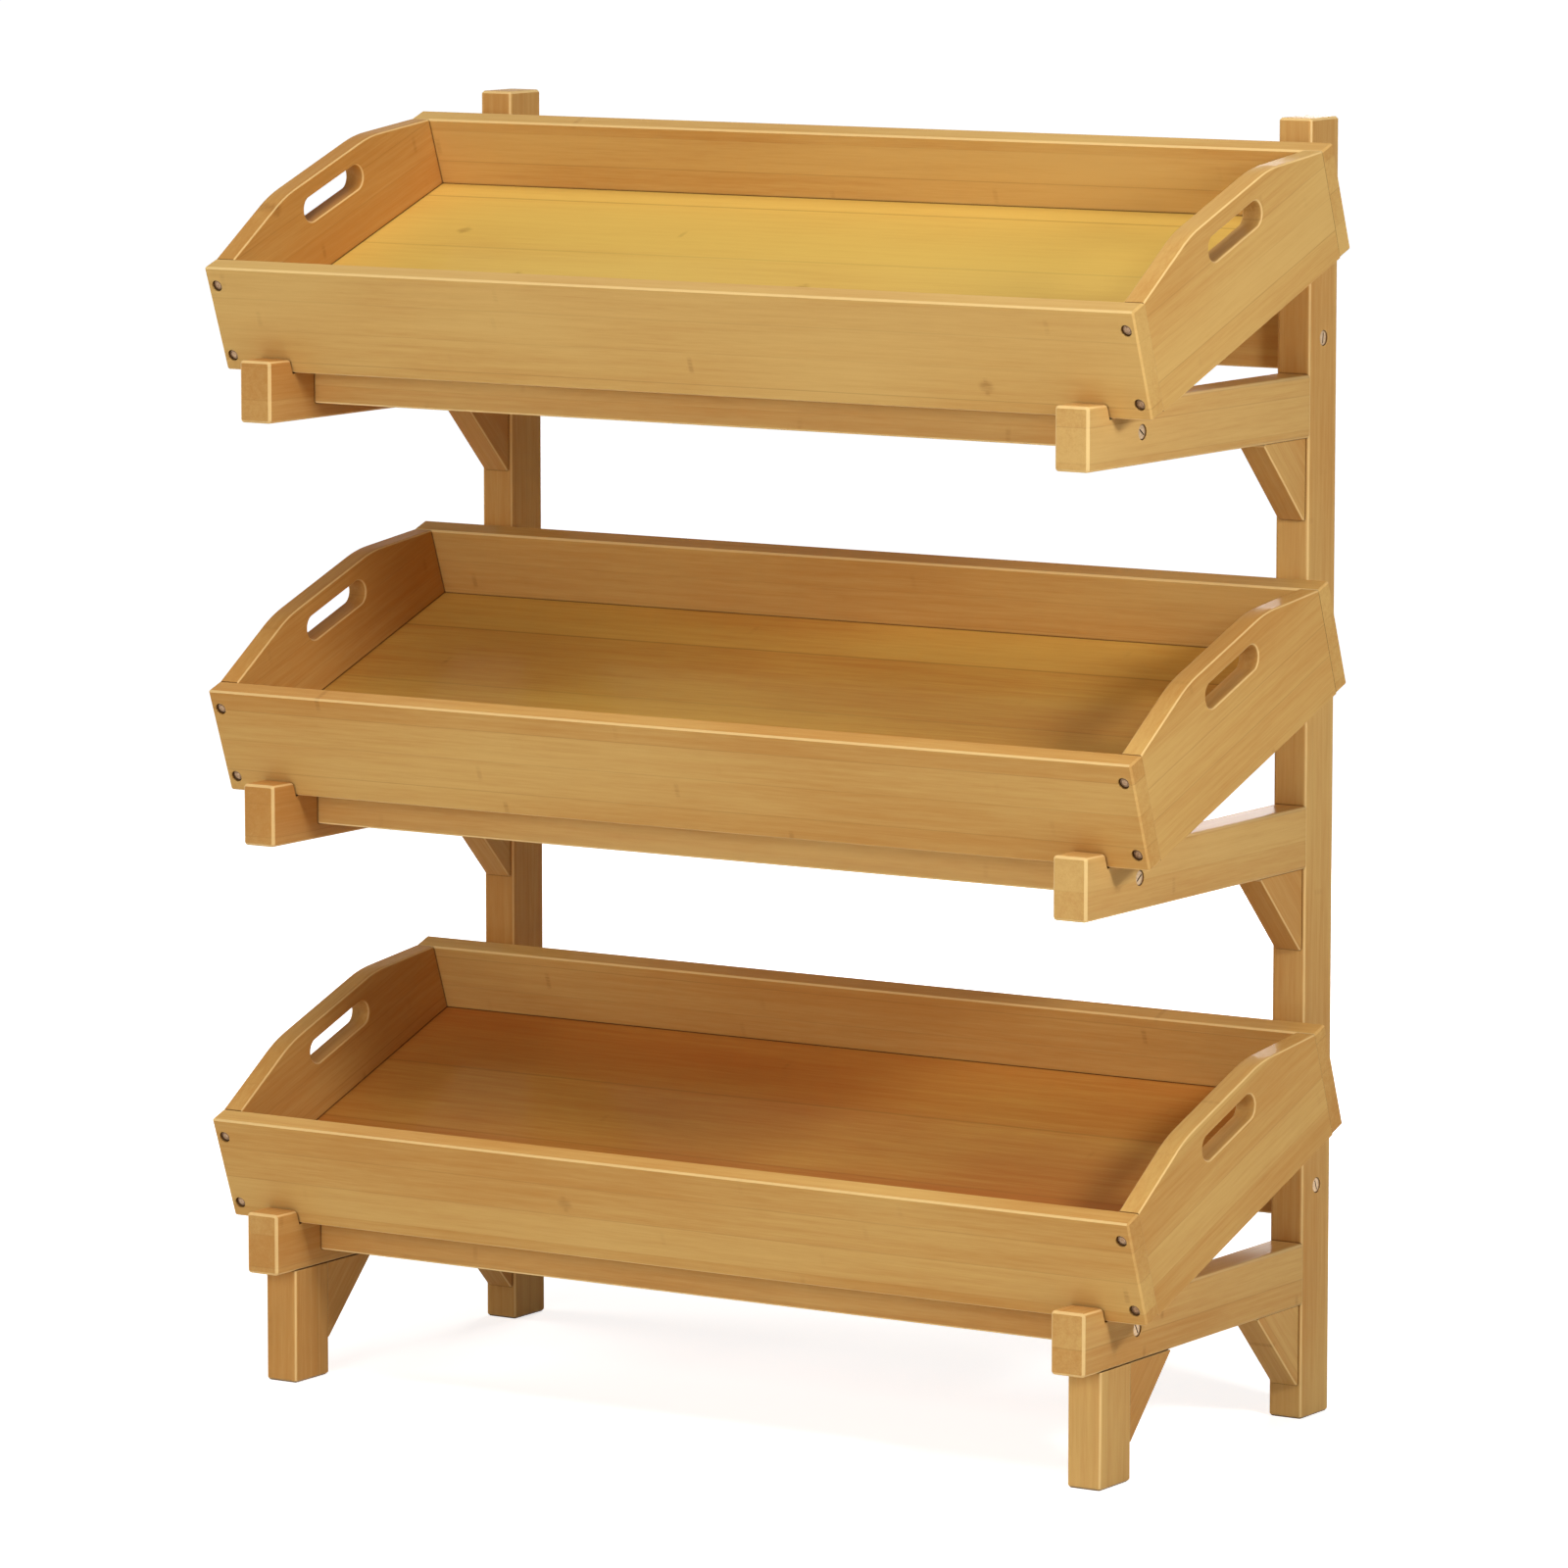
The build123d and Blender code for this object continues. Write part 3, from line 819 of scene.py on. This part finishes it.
@dataclass
class Screw:
    """A screw with a flat head, drawn with the head's top at z = 0.

    Shares are of the head's radius for the ring and the slot, of the ring's radius for the dome in
    it, and of the shank's radius for the tip and the point.
    """

    drive: Drive
    head_radius: float
    head_height: float
    shank_radius: float
    length: float
    sides: int = 40
    tip_share: float = 0.15
    point_share: float = 3.0
    round_over: float = 0.5 * MM
    round_steps: int = 4
    ring_share: float = 0.64
    ring_width: float = 0.35 * MM
    ring_depth: float = 0.3 * MM
    dome_share: float = 0.3
    dome_height: float = 0.1 * MM
    slot_share: float = 0.7
    slot_half_share: float = 0.1
    slot_depth: float = 1.2 * MM
    slot_steps: int = 6
    sharp_angle: float = radians(38)

    def ring(self, shape: bmesh.types.BMesh, radius: float, height: float) -> Loop:
        """A ring of vertices round the screw's axis."""
        turns = (tau * step / self.sides for step in range(self.sides))
        return [shape.verts.new((radius * cos(turn), radius * sin(turn), height)) for turn in turns]

    def slot(self, shape: bmesh.types.BMesh, height: float) -> Loop:
        """The outline of the slot, with round ends.

        Args:
            shape: the mesh that takes it.
            height: its height.

        Returns:
            The outline's vertices in order.
        """
        half = self.head_radius * self.slot_half_share
        reach = self.head_radius * self.slot_share - half
        turns = [pi * (step / self.slot_steps - 0.5) for step in range(self.slot_steps + 1)]
        end = [Vector((reach + half * cos(turn), half * sin(turn), height)) for turn in turns]
        ways = (Matrix(), Matrix.Rotation(pi, 4, "Z"))
        return [shape.verts.new(way @ point) for way in ways for point in end]

    @staticmethod
    def bridge(shape: bmesh.types.BMesh, low: Loop, high: Loop) -> None:
        """A band of faces between two loops with the same count of vertices.

        Args:
            shape: the mesh that takes it.
            low: one loop's vertices.
            high: the other's.
        """
        count = len(low)
        for side in range(count):
            after = (side + 1) % count
            shape.faces.new((low[side], low[after], high[after], high[side]))

    def outline(self) -> list[tuple[float, float]]:
        """The turned outline, from the tip to the middle of the head.

        Returns:
            Radius and height of each of its points.
        """
        turns = [pi / 2 * step / self.round_steps for step in range(self.round_steps + 1)]
        edge = self.head_radius - self.round_over
        outline = [
            (self.tip_share * self.shank_radius, -self.length),
            (self.shank_radius, -self.length + self.point_share * self.shank_radius),
            (self.shank_radius, -self.head_height),
            (self.head_radius, -self.head_height),
        ]
        outline += [(edge + self.round_over * cos(t), self.round_over * (sin(t) - 1)) for t in turns]
        if self.drive is Drive.RING:
            middle = self.head_radius * self.ring_share
            half = self.ring_width / 2
            outline += [
                (middle + half, 0.0),
                (middle, -self.ring_depth),
                (middle - half, 0.0),
                (self.dome_share * middle, self.dome_height),
            ]
        return outline

    def mesh(self) -> bpy.types.Mesh:
        """Turns the screw and cuts its drive.

        Returns:
            A closed mesh with its axis on z.
        """
        shape = bmesh.new()
        rings = [self.ring(shape, radius, height) for radius, height in self.outline()]
        for low, high in zip(rings, rings[1:]):
            self.bridge(shape, low, high)
        shape.faces.new(reversed(rings[0]))
        if self.drive is Drive.SLOT:
            mouth = self.slot(shape, 0.0)
            floor = self.slot(shape, -self.slot_depth)
            self.bridge(shape, mouth, floor)
            shape.faces.new(floor)
            pairs = [(loop[i], loop[i - 1]) for loop in (rings[-1], mouth) for i in range(len(loop))]
            edges = [shape.edges.get(pair) or shape.edges.new(pair) for pair in pairs]
            bmesh.ops.triangle_fill(shape, edges=edges, use_beauty=True, normal=(0, 0, 1))
        else:
            shape.faces.new(rings[-1])
        bmesh.ops.recalc_face_normals(shape, faces=shape.faces)
        made = bpy.data.meshes.new("screw")
        shape.to_mesh(made)
        shape.free()
        made.polygons.foreach_set("use_smooth", [True] * len(made.polygons))
        made.set_sharp_from_angle(angle=self.sharp_angle)
        return made


@dataclass
class ScrewSet:
    """Screws of one kind that ride on one body, driven where the frame's plain ones are."""

    name: str
    nodes: tuple[str, ...]
    body: str
    screw: Screw
    finish: PlatedSteel
    axis: Vector
    turn_seed: int
    weld: float = 0.01 * MM
    rim_band: float = 0.05 * MM
    sort_digits: int = 5

    def islands(self, node: str) -> Iterator[list[Vector]]:
        """The corner points of each separate screw in a node.

        Args:
            node: the node's name in the frame.

        Yields:
            The points of one screw.
        """
        shape = bmesh.new()
        shape.from_mesh(frame["nodes"][node].data)
        bmesh.ops.remove_doubles(shape, verts=shape.verts, dist=self.weld)
        waiting = set(shape.verts)
        while waiting:
            island, edge = set(), [waiting.pop()]
            while edge:
                vert = edge.pop()
                island.add(vert)
                edge.extend({e.other_vert(vert) for e in vert.link_edges} & waiting)
                waiting -= set(edge)
            yield [vert.co.copy() for vert in island]
        shape.free()

    def places(self) -> list[tuple[Vector, Vector]]:
        """Finds the wider end of each plain screw, which is its head.

        Returns:
            Where each head is, and the way it faces.
        """
        found = []
        for node in self.nodes:
            for points in self.islands(node):
                ends = []
                for way in (self.axis, -self.axis):
                    top = max(point.dot(way) for point in points)
                    rim = [point for point in points if point.dot(way) > top - self.rim_band]
                    middle = sum(rim, Vector()) / len(rim)
                    ends.append((max((point - middle).length for point in rim), middle, way))
                widest = max(ends, key=lambda end: end[0])
                found.append((widest[1], widest[2]))
        return sorted(found, key=lambda place: tuple(round(value, self.sort_digits) for value in place[0]))

    @staticmethod
    def driver() -> bpy.types.NodeTree:
        """The tree that drives a screw at each point, facing outwards, made once.

        Returns:
            The tree of Geometry Nodes.
        """
        name = "driven_screws"
        if name in bpy.data.node_groups:
            return bpy.data.node_groups[name]
        inputs = {
            "Geometry": "NodeSocketGeometry",
            "Screw": "NodeSocketObject",
            "Finish": "NodeSocketMaterial",
            "Size": "NodeSocketFloat",
            "Turn Seed": "NodeSocketInt",
        }
        nodes = Nodes.group(name, "GeometryNodeTree", inputs, {"Geometry": "NodeSocketGeometry"})
        given = nodes.add("NodeGroupInput").outputs
        outward = nodes.add("GeometryNodeInputNamedAttribute", {"Name": "outward"}, data_type="FLOAT_VECTOR")
        facing = nodes.add("FunctionNodeAlignRotationToVector", {"Vector": outward.outputs[0]}, axis="Z")
        turn = nodes.add(
            "FunctionNodeRandomValue",
            {"Min": 0.0, "Max": tau, "Seed": given["Turn Seed"]},
            data_type="FLOAT",
        )
        spin = nodes.add(
            "FunctionNodeAxisAngleToRotation", {"Axis": UPWARDS, "Angle": turn.outputs["Value"]}
        )
        turned = nodes.add(
            "FunctionNodeRotateRotation",
            {"Rotation": facing.outputs[0], "Rotate By": spin.outputs[0]},
            rotation_space="LOCAL",
        )
        model = nodes.add("GeometryNodeObjectInfo", {"Object": given["Screw"]})
        placed = nodes.add(
            "GeometryNodeInstanceOnPoints",
            {
                "Points": given["Geometry"],
                "Instance": model.outputs["Geometry"],
                "Rotation": turned.outputs[0],
                "Scale": given["Size"],
            },
        )
        real = nodes.add("GeometryNodeRealizeInstances", {"Geometry": placed.outputs[0]})
        finished = nodes.add(
            "GeometryNodeSetMaterial", {"Geometry": real.outputs[0], "Material": given["Finish"]}
        )
        nodes.add("NodeGroupOutput", {"Geometry": finished.outputs[0]})
        return nodes.tree

    def build(self) -> bpy.types.Object:
        """Drives the screws and makes them one plain mesh.

        Returns:
            The finished piece, riding on its body in place of the frame's plain screws.
        """
        places = self.places()
        points = bpy.data.meshes.new(self.name)
        points.from_pydata([place for place, way in places], [], [])
        outward = points.attributes.new("outward", "FLOAT_VECTOR", "POINT")
        outward.data.foreach_set("vector", [value for place, way in places for value in way])
        piece = bpy.data.objects.new(self.name, points)
        model = bpy.data.objects.new(f"{self.name}_model", self.screw.mesh())
        for made in (piece, model):
            bpy.context.scene.collection.objects.link(made)
        drive = piece.modifiers.new("drive", "NODES")
        drive.node_group = self.driver()
        values = {"Screw": model, "Finish": self.finish.material(), "Size": 1.0, "Turn Seed": self.turn_seed}
        for item in drive.node_group.interface.items_tree:
            if item.name in values:
                drive[item.identifier] = values[item.name]
        seen = piece.evaluated_get(bpy.context.evaluated_depsgraph_get())
        solid = bpy.data.meshes.new_from_object(seen)
        piece.modifiers.remove(drive)
        piece.data = solid
        solid.name = self.name
        bpy.data.meshes.remove(points)
        bpy.data.objects.remove(model)
        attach(piece, self.body)
        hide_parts(*self.nodes)
        LOG.info("drove %d screws for %s", len(places), self.name)
        return piece


def screw_sets() -> list[ScrewSet]:
    """Every set of screws on the stand.

    Returns:
        One set for the frame, and one for each tray.
    """
    rail_screw = Screw(
        Drive.SLOT, head_radius=6.0 * MM, head_height=4.0 * MM, shank_radius=3.0 * MM, length=64.0 * MM
    )
    tray_screw = Screw(
        Drive.RING, head_radius=4.3 * MM, head_height=3.0 * MM, shank_radius=2.0 * MM, length=44.0 * MM
    )
    sets = [
        ScrewSet(
            name="frame_rail_screws",
            nodes=("front_rail_screws", "rear_rail_screws"),
            body="frame",
            screw=rail_screw,
            finish=RAIL_STEEL,
            axis=WIDTHWAYS,
            turn_seed=7,
        )
    ]
    sets += [
        ScrewSet(
            name=f"{tier}_board_screws",
            nodes=(f"{tier}_tray_screws",),
            body=f"{tier}_tray",
            screw=tray_screw,
            finish=TRAY_STEEL,
            axis=ALONG_TRAY,
            turn_seed=number,
        )
        for number, tier in enumerate(TIERS)
    ]
    return sets


@dataclass(frozen=True)
class Lamp:
    """A soft square lamp, with its side in metres and its power in watts."""

    name: str
    place: Point
    aim: Point
    size: float
    power: float

    def build(self) -> None:
        """Stands the lamp facing its aim, where the camera doesn't see it."""
        data = bpy.data.lights.new(self.name, "AREA")
        data.size = self.size
        data.energy = self.power
        lamp = bpy.data.objects.new(self.name, data)
        lamp.location = self.place
        lamp.rotation_euler = (Vector(self.place) - Vector(self.aim)).to_track_quat("Z", "Y").to_euler()
        lamp.visible_camera = False
        bpy.context.scene.collection.objects.link(lamp)


LAMPS = (
    Lamp("overhead", place=(0.3, -0.95, 3.8), aim=(0.0, -0.1, 0.3), size=1.6, power=58),
    Lamp("front", place=(0.2, -4.0, 1.5), aim=(0.0, 0.0, 0.5), size=2.0, power=63),
    Lamp("key", place=(2.1, -0.62, 1.36), aim=(0.0, 0.0, 0.5), size=0.35, power=22),
    Lamp("left", place=(-2.4, -0.3, 0.95), aim=(0.0, 0.0, 0.55), size=0.9, power=15),
    Lamp("back", place=(-0.7, 3.1, 1.2), aim=(0.0, 0.0, 0.55), size=1.5, power=44),
)


@dataclass
class Studio:
    """White floor, soft light and the photograph's camera."""

    yaw: float = radians(32.563)
    pitch: float = radians(7.647)
    distance: float = 6.732
    target: Vector = field(default_factory=lambda: Vector((0.0005, -0.0012, 0.5010)))
    lens: float = 192.9
    sensor: float = 36.0
    sky: float = 0.05
    floor_half: float = 60.0
    floor_colour: Colour = (0.85, 0.85, 0.85, 1.0)
    floor_glow: float = 0.7
    glow_near: float = 0.7
    glow_far: float = 2.5

    def camera(self) -> None:
        """Stands the camera where the photograph was taken."""
        level = cos(self.pitch)
        back = Vector((sin(self.yaw) * level, -cos(self.yaw) * level, sin(self.pitch)))
        data = bpy.data.cameras.new("camera")
        data.lens = self.lens
        data.sensor_width = self.sensor
        data.clip_end = 2 * self.floor_half
        eye = bpy.data.objects.new("camera", data)
        eye.location = self.target + back * self.distance
        eye.rotation_euler = back.to_track_quat("Z", "Y").to_euler()
        bpy.context.scene.collection.objects.link(eye)
        bpy.context.scene.camera = eye

    @staticmethod
    def seen_directly(nodes: Nodes) -> Socket:
        """Tells rays that show the background: straight, mirrored or through glass.

        Args:
            nodes: the tree that asks.

        Returns:
            1 on such a ray, or else 0.
        """
        ray = nodes.add("ShaderNodeLightPath").outputs
        shown = nodes.math("MAXIMUM", ray["Is Camera Ray"], ray["Is Glossy Ray"])
        return nodes.math("MAXIMUM", shown, ray["Is Transmission Ray"])

    def world(self) -> None:
        """Even light from all round, in front of a white background."""
        world = bpy.data.worlds.new("studio")
        nodes = Nodes.of(world)
        strength = nodes.math("MULTIPLY_ADD", self.seen_directly(nodes), 1.0 - self.sky, self.sky)
        light = nodes.add("ShaderNodeBackground", {"Color": WHITE, "Strength": strength})
        nodes.add("ShaderNodeOutputWorld", {"Surface": light.outputs[0]})
        bpy.context.scene.world = world

    def floor(self) -> None:
        """A white floor that keeps the stand's shadow."""
        half = self.floor_half
        mesh = bpy.data.meshes.new("floor")
        corners = [(-half, -half, 0), (half, -half, 0), (half, half, 0), (-half, half, 0)]
        mesh.from_pydata(corners, [], [(0, 1, 2, 3)])
        floor = bpy.data.objects.new("floor", mesh)
        bpy.context.scene.collection.objects.link(floor)
        finish = bpy.data.materials.new("floor")
        nodes = Nodes.of(finish)
        diffuse = nodes.add("ShaderNodeBsdfDiffuse", {"Color": self.floor_colour})
        away = nodes.length(nodes.add("ShaderNodeTexCoord").outputs["Object"])
        white = nodes.fade(away, self.glow_near, self.glow_far, self.floor_glow, 1.0)
        strength = nodes.math("MULTIPLY", self.seen_directly(nodes), white)
        glow = nodes.add("ShaderNodeEmission", {"Strength": strength})
        both = nodes.add("ShaderNodeAddShader", {0: diffuse.outputs[0], 1: glow.outputs[0]})
        nodes.add("ShaderNodeOutputMaterial", {"Surface": both.outputs[0]})
        mesh.materials.append(finish)

    def build(self) -> None:
        """Sets up everything round the stand."""
        self.camera()
        self.world()
        self.floor()
        for lamp in LAMPS:
            lamp.build()
        bpy.context.scene.view_settings.view_transform = "Standard"
        LOG.info("studio is set")


def main() -> None:
    """Builds the stand's looks, piece by piece."""
    logging.basicConfig(level=logging.INFO)
    dresser = Dresser()
    SideFrames().dress(dresser)
    Rails().dress(dresser)
    for tier, warmth in TIERS.items():
        Tray(tier, warmth).dress(dresser)
    for screws in screw_sets():
        screws.build()
    Studio().build()


if __name__ == "__main__":
    main()
